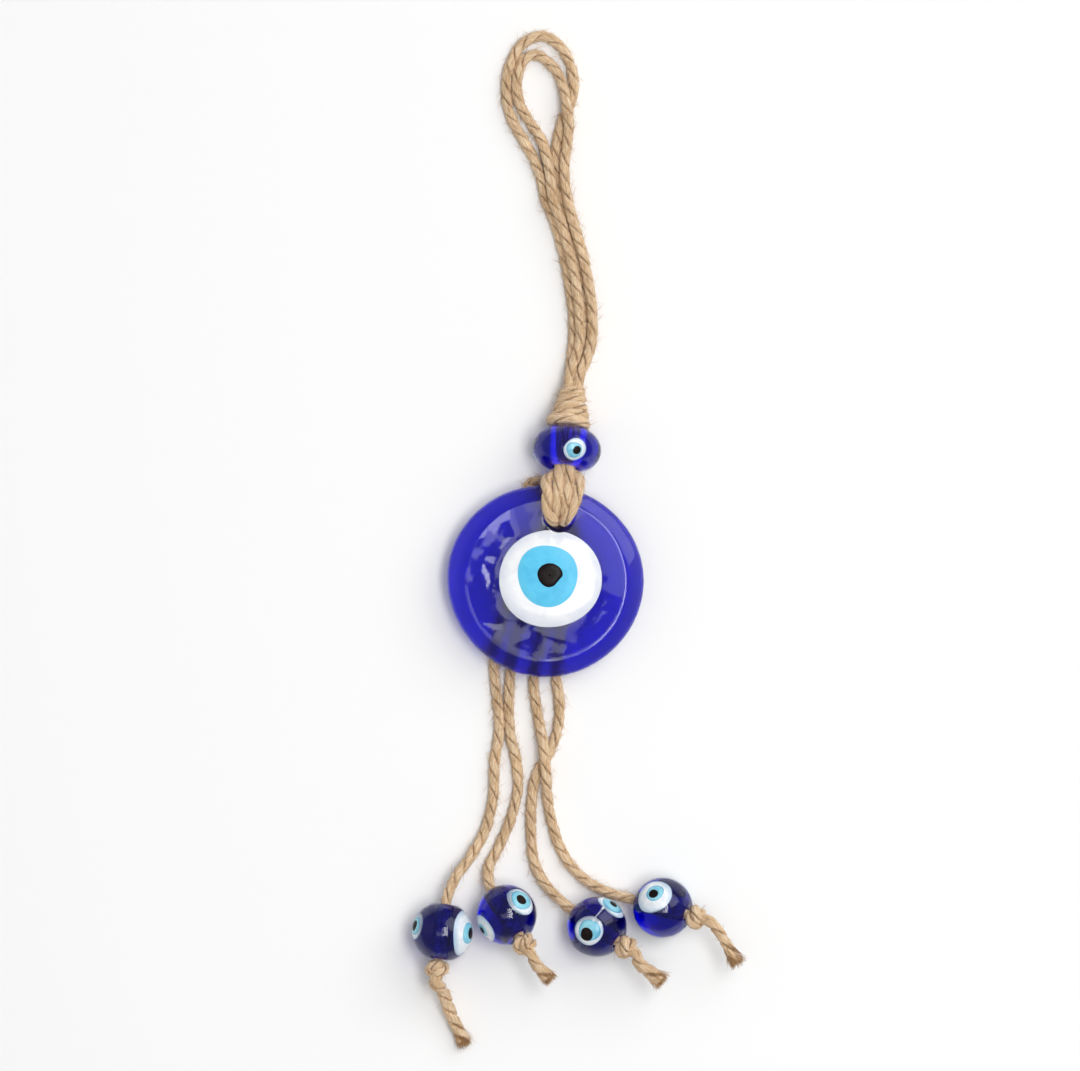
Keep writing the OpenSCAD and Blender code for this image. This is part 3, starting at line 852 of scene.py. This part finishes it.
def hitch():
    """A flattened knot behind the top of the disc: two loops with two turns drawn over them."""
    rng = seeded("twine_hitch")
    build = Build()
    loops = [
        [[2.6, -98.8, 2.2], [1.4, -96.4, 2.1], [-0.9, -93.4, 1.8], [-2.9, -92.2, 1.3],
         [-0.6, -91.1, 0.9], [2.0, -93.6, 0.9], [3.0, -96.2, 0.9], [4.6, -99.2, 0.9]],
        [[4.9, -98.8, 2.2], [6.0, -96.6, 2.1], [7.3, -94.0, 1.8], [7.5, -92.4, 1.3],
         [6.2, -92.0, 0.9], [4.9, -93.8, 0.9], [4.2, -96.4, 0.9], [2.8, -99.4, 0.9]],
        [[0.6, -97.4, 0.9], [1.2, -98.8, 1.9], [3.7, -99.5, 2.2], [6.2, -98.8, 1.9],
         [6.8, -97.2, 0.9], [5.6, -96.0, 0.8], [3.7, -95.6, 0.8], [1.6, -96.2, 1.2],
         [0.9, -97.2, 2.0]],
        [[0.9, -95.6, 1.2], [2.2, -94.6, 2.1], [3.9, -94.3, 2.2], [5.6, -94.8, 2.1],
         [6.7, -96.0, 1.2], [5.4, -97.2, 0.8], [3.6, -97.6, 0.8], [1.8, -97.0, 0.9]],
    ]
    for points in loops:
        path = smooth_path(points, 0.35)
        twine(build, path, rng, d=1.5, lay=5.6)
    fuzz(build, smooth_path(loops[0], 0.35), rng, per_mm=5.0, reach=(0.6, 2.2))
    for verts in build.verts:
        verts[:, 2] = np.clip(verts[:, 2], 0.03, 2.95)
    settle(build.make("twine_hitch", TWINE), "neck", "hitch", "jute")


hitch()


# ---- glass: shared shapes


def wavy(angle, seeds, sizes):
    """A closed outline's departure from a circle."""
    total = np.zeros_like(angle)
    for n, (seed, size) in enumerate(zip(seeds, sizes)):
        total = total + size * np.sin((n + 2) * angle + seed)
    return total


def revolve(build, profile, count, basis, origin, swell):
    """A closed ring of glass turned about the bore, a little uneven as hand-made glass is."""
    profile = np.asarray(profile, float)
    a = np.arange(count) / count * TAU
    rho, t = profile[:, 0][:, None], profile[:, 1][:, None]
    k = swell(a[None, :], t)
    local = np.stack([rho * k * np.cos(a), rho * k * np.sin(a), t * np.ones_like(a)[None, :]], -1)
    verts = origin + local.reshape(-1, 3) @ basis
    build.add(verts, grid_faces(len(profile), count, wrap_rows=True), 0 * verts)


def lens(build, surface, outline, proud, sunk, offset, rings, around):
    """A spot of coloured glass let into a surface: a closed shape with a low dome.

    Its fibre coordinate is 0 in the middle and 1 at the edge.
    """
    a = np.arange(around) / around * TAU
    r = outline(a)
    crown = [(share, proud * (1 - share ** 5))
             for share in np.sin(np.linspace(0, 1, rings + 1)[1:] * math.pi / 2)]
    root = [(0.985, -0.55 * sunk), (0.9, -sunk)]
    middle = [np.array([at]) for at in offset]
    verts, edge = [surface(*middle, np.array([proud]))], [np.zeros(1)]
    for share, height in crown + root:
        edge.append(np.full(around, share))
        x, y = offset[0] + share * r * np.cos(a), offset[1] + share * r * np.sin(a)
        verts.append(surface(x, y, np.full_like(x, height)))
    verts.append(surface(*middle, np.array([-sunk])))
    edge.append(np.zeros(1))
    verts, edge = np.concatenate(verts), np.concatenate(edge)
    levels = len(crown + root)
    faces = [(0, 1 + j, 1 + (j + 1) % around) for j in range(around)]
    faces += grid_faces(levels, around, start=1)
    base = 1 + (levels - 1) * around
    tip = base + around
    faces += [(tip, base + (j + 1) % around, base + j) for j in range(around)]
    build.add(verts, faces, np.stack([edge, 0 * edge, 0 * edge], 1))


# ---- glass: the disc

RIDGE_R = 16.4
RIM_START = 0.5
DISH_SLOPE = math.tan(math.radians(2.6))
HOLE_ROUND_R = 0.85
HOLE_FOOT = 0.55
UNDERCUT = 0.32
FROST_BELOW = 0.1


def disc_top(x, y):
    """Height of the disc's front above its back plane."""
    rho = np.hypot(x, y)
    out = np.clip((rho - RIDGE_R) / (DISC_R - RIDGE_R), 0, 1)
    round_off = RIM_START + (1 - RIM_START) * out
    rim = DISC_RIM_T / 2 * (1 + np.sqrt(np.maximum(1 - round_off ** 2, 0) / (1 - RIM_START ** 2)))
    dish = DISC_RIM_T - DISH_SLOPE * np.minimum(RIDGE_R - rho, 5.5)
    height = np.where(rho > RIDGE_R, rim, dish)
    inside = np.clip((RIDGE_R - rho) / 2.5, 0, 1)
    waves = 0.045 * np.sin(0.42 * x + 0.9) * np.cos(0.36 * y - 0.4) \
        + 0.03 * np.sin(0.31 * x - 0.55 * y + 2.0)
    return height + waves * inside


def disc_back(x, y):
    """Height of the disc's back, which the casting plate left nearly flat."""
    inner = np.clip((np.hypot(x, y) - 17.5) / 1.5, -1, 0)
    return -inner * 0.03 * (1 + np.sin(x * 0.5) * np.cos(y * 0.4))


def disc_outline(angle):
    return DISC_R * (1 + wavy(angle, (2.6, 0.4, 1.9), (0.006, 0.005, 0.0025)))


def disc_body():
    """Rings round the hole: out over the front, round the rim, and back in along the back."""
    build = Build()
    around = 320
    a = np.arange(around) / around * TAU
    ray = np.stack([np.cos(a), np.sin(a)], 1)
    b = ray @ HOLE_AT
    gap = HOLE_AT @ HOLE_AT
    ridge = -b + np.sqrt(b * b - gap + RIDGE_R ** 2)
    edge = -b + np.sqrt(b * b - gap + DISC_R ** 2)
    start = HOLE_R + np.minimum(HOLE_ROUND_R, 0.6 * (ridge - HOLE_R))
    verts = []

    def ring(d, height):
        """One ring round the hole, at distance d from its middle."""
        p = HOLE_AT + d[:, None] * ray
        verts.append(np.column_stack([p, height(*p.T)]))

    for c in np.linspace(0, math.pi / 2, 8):
        ring(HOLE_R + (start - HOLE_R) * (1 - math.cos(c)),
             lambda x, y: disc_top(x, y) - HOLE_ROUND_R * (1 - math.sin(c)))
    for u in np.linspace(0, 1, 34)[1:]:
        ring(start + (ridge - start) * u, disc_top)
    for c in np.linspace(0, math.pi / 2, 22)[1:]:
        ring(ridge + (edge - ridge) * math.sin(c), disc_top)
    for c in np.linspace(0, math.pi / 2, 10)[1:]:
        ring(edge - (edge - ridge) * UNDERCUT * (1 - math.cos(c)),
             lambda x, y: np.full(around, DISC_RIM_T / 2 * (1 - math.sin(c))))
    last = edge - (edge - ridge) * UNDERCUT
    for u in np.linspace(0, 1, 26)[1:]:
        ring(last + (HOLE_R + HOLE_FOOT - last) * u, disc_back)
    for c in np.linspace(0, math.pi / 2, 6)[1:]:
        ring(HOLE_R + HOLE_FOOT * (1 - math.sin(c)) * np.ones(around),
             lambda x, y: np.full(around, HOLE_FOOT * (1 - math.cos(c))))
    verts = np.stack(verts)
    rho = np.hypot(verts[..., 0], verts[..., 1])
    angle = np.arctan2(verts[..., 1], verts[..., 0])
    grow = np.clip((rho - RIDGE_R) / (DISC_R - RIDGE_R), 0, 1)
    k = 1 + (disc_outline(angle) / DISC_R - 1) * grow
    verts[..., 0] *= k
    verts[..., 1] *= k * (1 - 0.018 * grow)
    world = DISC_CENTER + verts.reshape(-1, 3) @ DISC_AXES
    faces = grid_faces(len(verts), around, wrap_rows=True)
    frosted = (verts[..., 2].ravel() < FROST_BELOW).astype(float)
    build.add(world, faces, np.stack([frosted, 0 * frosted, 0 * frosted], 1))
    settle(build.make("glass_disc_body", [COBALT]), "disc", "disc_body", "cobalt_glass")


disc_body()


def disc_layer(part, slot, material, at, radius, base, rise, seeds, sizes, tall=1.0,
               notch=False, flat_at=None):
    """One layer of the disc's eye, a poured spot with a low dome and a soft edge.

    notch keeps it clear of the hole. flat_at is the direction and share of a flattened side.
    """
    build = Build()

    def outline(angle):
        r = radius * (1 + wavy(angle, seeds, sizes))
        r = r * np.hypot(np.cos(angle), tall * np.sin(angle))
        if notch:
            ray = np.stack([np.cos(angle), np.sin(angle)], 1)
            gap = HOLE_AT - at
            reach = ray @ gap
            miss = np.sqrt(np.maximum(gap @ gap - reach ** 2, 0))
            clear = HOLE_R + 0.75
            cut = np.where((miss < clear) & (reach > 0),
                           reach - np.sqrt(np.maximum(clear ** 2 - miss ** 2, 0)), 1e3)
            r = np.minimum(r, cut)
        if flat_at is not None:
            r = np.minimum(r, radius * flat_at[1] / np.maximum(
                np.cos(angle - math.radians(flat_at[0])), 0.2))
        return r

    def surface(x, y, height):
        z = np.full_like(x, base) + height
        local = np.column_stack([at[0] + x, at[1] + y, z])
        return DISC_CENTER + local @ DISC_AXES

    lens(build, surface, outline, rise, 0.6, (0.0, 0.0), rings=20, around=144)
    settle(build.make(f"glass_disc_{part}", [material]), "disc", f"disc_{part}", slot)


disc_layer("white", "white_glass", MILK, WHITE_AT, radius=10.5, base=4.75, rise=0.75,
           seeds=(0.8, 2.2, 4.4), sizes=(0.008, 0.006, 0.004), tall=0.955, notch=True)
disc_layer("iris", "sky_glass", SKY, IRIS_AT, radius=6.15, base=5.42, rise=0.4,
           seeds=(2.2, 0.4, 5.0), sizes=(0.02, 0.02, 0.01), tall=1.06)
disc_layer("pupil", "black_glass", BLACK, PUPIL_AT, radius=2.55, base=5.78, rise=0.3,
           seeds=(1.2, 0.6, 2.0), sizes=(0.03, 0.03, 0.015), flat_at=(-40, 0.86))


# ---- glass: the beads


def bead_profile():
    """Half section of an end bead: round outside, flattened poles, a dimple into the bore."""
    points = []
    cut = math.asin(5.35 / BEAD_R)
    for lat in np.linspace(cut, -cut, 64):
        points.append([BEAD_R * math.cos(lat), BEAD_R * math.sin(lat)])
    lower = [[2.75, -5.55], [2.35, -5.66], [1.95, -5.66], [1.6, -5.5], [1.38, -5.2], [1.28, -4.8]]
    wall = [[BEAD_BORE_R, t] for t in np.linspace(-4.2, 4.2, 12)]
    upper = [[r, -t] for r, t in reversed(lower)]
    return points + lower + wall + upper


def ball_surface(center, basis, azimuth, lift, radius):
    """Maps flat millimetres around an eye's middle, and a height, onto a ball."""
    a, e = math.radians(azimuth), math.radians(lift)
    e0 = np.array([math.sin(a) * math.cos(e), math.cos(a) * math.cos(e), math.sin(e)])
    e1 = unit(np.cross(e0, np.array([0.0, 0.0, 1.0])))
    e2 = np.cross(e1, e0)

    def surface(x, y, height):
        rho = np.hypot(x, y)
        alpha = rho / radius
        w = np.where(rho > 1e-9, 1 / np.maximum(rho, 1e-9), 0)
        u = np.cos(alpha)[:, None] * e0 \
            + (np.sin(alpha) * w)[:, None] * (x[:, None] * e1 + y[:, None] * e2)
        return center + ((radius + height)[:, None] * u) @ basis

    return surface


# Each eye: radius, share of it that the blue and the black take, and where those two lie as
# seen from above, in millimetres from the white spot's middle.
NECK_EYES = [(2.5, 0.76, 0.42, (-0.15, 0.0), (0.32, 0.0))] + [
    (1.7, 0.66, 0.42, (0.0, 0.0), (0.0, 0.0))] * 2
HIDDEN_EYE = (1.0, 0.64, 0.36, (0.0, 0.0), (0.0, 0.0))
BEAD_EYES = [
    [(1.14, 0.5, 0.28, (-0.12, 0.0), (0.0, 0.0)),
     (0.62, 0.8, 0.48, (0.0, 0.0), (0.0, 0.0)), HIDDEN_EYE],
    [(0.88, 0.8, 0.42, (0.0, 0.1), (-0.1, 0.05)),
     (0.9, 0.5, 0.3, (0.0, 0.0), (0.0, 0.0)), HIDDEN_EYE],
    [(0.98, 0.8, 0.5, (0.2, 0.1), (-0.25, -0.6)),
     (1.0, 0.82, 0.34, (0.0, 0.0), (0.0, 0.0)), HIDDEN_EYE],
    [(1.0, 0.54, 0.31, (0.35, 0.4), (0.1, 0.15)),
     HIDDEN_EYE, HIDDEN_EYE],
]


EYE_PROUD = 0.07
HIDDEN_PROUD = 0.02
EYE_SUNK = 0.45


def eye(builds, surface, shape, rng, proud=EYE_PROUD):
    """White, light blue and black spots, one on the other, each a little off centre."""
    radius, iris, pupil, iris_to, pupil_to = shape
    zero = np.zeros(1)
    base, across, along = (surface(zero + dx, zero + dy, zero)[0, :2]
                           for dx, dy in ((0, 0), (1, 0), (0, 1)))
    seen = np.stack([across - base, along - base], 1)
    edge_on = np.linalg.svd(seen)[1][1] < 0.15
    if edge_on:
        seen = np.eye(2)
    for layer, (share, to) in enumerate(((1.0, (0, 0)), (iris, iris_to), (pupil, pupil_to))):
        seeds = rng.uniform(0, TAU, 3)
        r = radius * share
        offset = np.linalg.solve(seen, np.array(to, float))

        def outline(angle, r=r, seeds=seeds):
            return r * (1 + wavy(angle, seeds, (0.03, 0.02, 0.01)))

        lens(builds[layer], surface, outline, proud * (1 + 1.05 * layer), EYE_SUNK, offset,
             rings=10, around=56)


def finish_eyes(prefix, builds, body):
    for build, part, material, slot in zip(
            builds, ("whites", "irises", "pupils"), (MILK_SPOT, SKY_SPOT, BLACK),
            ("white_glass", "sky_glass", "black_glass")):
        settle(build.make(f"{prefix}_{part}", [material]), body, f"{body}_{part}", slot)


# A thread of white glass trails between two eyes of bead 3: where it starts and ends, from above.
STRINGER_BEAD = 2
STRINGER = [(1.5, 4.2), (0.9, 3.5), (0.3, 2.8), (-0.3, 2.1), (-0.8, 1.2)]


def stringer(build, center):
    """A thin glass thread fused into a bead's skin."""
    flat = np.array(STRINGER)
    up = np.sqrt(BEAD_R ** 2 - (flat ** 2).sum(1))
    path = smooth_path(center + np.column_stack([flat, up]), 0.15)
    out = unit(path - center)
    path = center + (BEAD_R - 0.06) * out
    side = unit(np.cross(np.gradient(path, axis=0), out))
    u = np.linspace(0, 1, len(path))
    width = 0.17 + 0.22 * np.abs(2 * u - 1) ** 3
    width[0] = width[-1] = 0.12
    sweep(build, path, out, side, 0.5 * width, width, np.ones((len(path), 10)), np.zeros_like)


def end_bead(k):
    name = f"glass_bead_{k + 1}"
    rng = seeded(name)
    p1, p2, p3 = rng.uniform(0, TAU, 3)

    def swell(a, t):
        return 1 + 0.006 * np.sin(2 * a + p1) + 0.005 * np.sin(3 * a + p2 + 0.25 * t) \
            + 0.004 * np.sin(a + p3 + 0.5 * t)

    build = Build()
    profile = bead_profile()
    around = 128
    revolve(build, profile, around, BEAD_AXES[k], BEAD_CENTER[k], swell)
    wall = [i for i, (r, t) in enumerate(profile) if r <= BEAD_BORE_R + 0.05]
    bore = slice(min(wall) * around, max(wall) * around)
    build.slots[bore] = [1] * len(build.slots[bore])
    body = f"end_bead_{k + 1}"
    settle(build.make(f"{name}_body", [COBALT_BEAD, BORE]), body, f"{body}_body", "cobalt_glass")
    builds = [Build() for _ in range(3)]
    radius = BEAD_R * math.asin(BEAD_WHITE_R[k] / BEAD_R)
    for azimuth, shape in zip(BEAD_EYE_ANGLES[k], BEAD_EYES[k]):
        surface = ball_surface(BEAD_CENTER[k], BEAD_AXES[k], azimuth, BEAD_EYE_LIFT[k], BEAD_R)
        eye(builds, surface, (radius * shape[0], *shape[1:]), rng,
            HIDDEN_PROUD if shape is HIDDEN_EYE else EYE_PROUD)
    if k == STRINGER_BEAD:
        stringer(builds[0], BEAD_CENTER[k])
    finish_eyes(name, builds, body)


for k in range(4):
    end_bead(k)


def ring_surface(azimuth):
    """Maps flat millimetres around an eye's middle onto the neck bead's outer face."""
    a0 = math.radians(azimuth)
    outer = NECK_RING_R + NECK_TUBE_R

    def surface(x, y, height):
        phi = a0 + x / outer
        tau = math.radians(NECK_EYE_LIFT) + y / NECK_TUBE_R
        r = NECK_RING_R + (NECK_TUBE_R + height) * np.cos(tau)
        local = np.column_stack([r * np.sin(phi), r * np.cos(phi),
                                 (NECK_TUBE_R + height) * np.sin(tau)])
        return NECK_CENTER + local @ NECK_AXES

    return surface


def neck_bead():
    rng = seeded("glass_neck")
    w = np.linspace(0, TAU, 97)[:-1]
    profile = np.stack([NECK_RING_R + NECK_TUBE_R * np.cos(w), NECK_TUBE_R * np.sin(w)], 1)
    profile[:, 0] = np.maximum(profile[:, 0], NECK_BORE_R + 0.02 * np.cos(w))

    def swell(a, t):
        return 1 + 0.006 * np.sin(2 * a + 1.1) + 0.005 * np.sin(3 * a + 0.4 * t)

    build = Build()
    revolve(build, profile, 144, NECK_AXES, NECK_CENTER, swell)
    settle(build.make("glass_neck_body", [COBALT_NECK]), "neck_bead", "neck_bead_body",
           "cobalt_glass")
    builds = [Build() for _ in range(3)]
    for azimuth, shape in zip(NECK_EYE_ANGLES, NECK_EYES):
        eye(builds, ring_surface(azimuth), shape, rng)
    finish_eyes("glass_neck", builds, "neck_bead")


neck_bead()


# ---- floor and light


def floor():
    size = 3.0
    mesh = bpy.data.meshes.new("floor")
    mesh.from_pydata([(-size, -size, 0), (size, -size, 0), (size, size, 0), (-size, size, 0)],
                     [], [(0, 1, 2, 3)])
    m = Nodes("paper")
    shader = m.add("ShaderNodeBsdfPrincipled", {
        "Base Color": (0.96, 0.96, 0.96, 1), "Roughness": 0.9, "Specular IOR Level": 0.1})
    mesh.materials.append(m.finish(shader))
    obj = bpy.data.objects.new("floor", mesh)
    scene.collection.objects.link(obj)


def softbox(name, size, power, location, facing=(0.0, 0.0, 1.0)):
    """A rectangular light that shines against the direction it is facing."""
    data = bpy.data.lights.new(name, "AREA")
    data.shape = "RECTANGLE"
    data.size, data.size_y = size
    data.energy = power
    light = bpy.data.objects.new(name, data)
    light.location = location
    x = unit(np.cross([0, 0, 1], facing)) if facing[2] < 0.999 else np.array([1.0, 0, 0])
    light.rotation_euler = Matrix((x, np.cross(facing, x), facing)).transposed().to_euler()
    scene.collection.objects.link(light)


def side_light(name, azimuth, elevation, size, power):
    """A softbox 2.4 m away that faces the ornament."""
    a, e = math.radians(azimuth), math.radians(elevation)
    facing = np.array([math.sin(a) * math.cos(e), math.cos(a) * math.cos(e), math.sin(e)])
    softbox(name, (size, size), power, np.array([0.0, -0.11, 0.0]) + 2.4 * facing, facing)


floor()

# The overhead softbox in panels, in metres: x and y of the low and high corners, and how bright
# each is. The bright ones surround an opening, which the disc mirrors beside its eye.
CEILING_HEIGHT = 1.2
CEILING_PANELS = [
    (-0.45, -0.02, -0.5, -0.17, 1.3),
    (-0.02, 0.06, -0.5, -0.17, 2.4),
    (-0.03, 0.06, -0.14, 0.12, 2.2),
    (0.06, 0.17, -0.5, -0.26, 5.4),
    (0.06, 0.17, -0.08, 0.3, 3.8),
    (0.17, 0.48, -0.5, 0.3, 8.6),
]
for n, (x0, x1, y0, y1, radiance) in enumerate(CEILING_PANELS):
    size = (x1 - x0, y1 - y0)
    softbox(f"ceiling_{n + 1}", size, math.pi * radiance * size[0] * size[1],
            ((x0 + x1) / 2, (y0 + y1) / 2, CEILING_HEIGHT))
side_light("key", azimuth=50, elevation=40, size=1.9, power=22)
side_light("fill", azimuth=-75, elevation=30, size=2.0, power=1.5)

world = bpy.data.worlds.new("studio")
world.use_nodes = True
background = world.node_tree.nodes["Background"]
background.inputs["Color"].default_value = (1, 1, 1, 1)
background.inputs["Strength"].default_value = 0.32
scene.world = world
scene.view_settings.view_transform = "Standard"
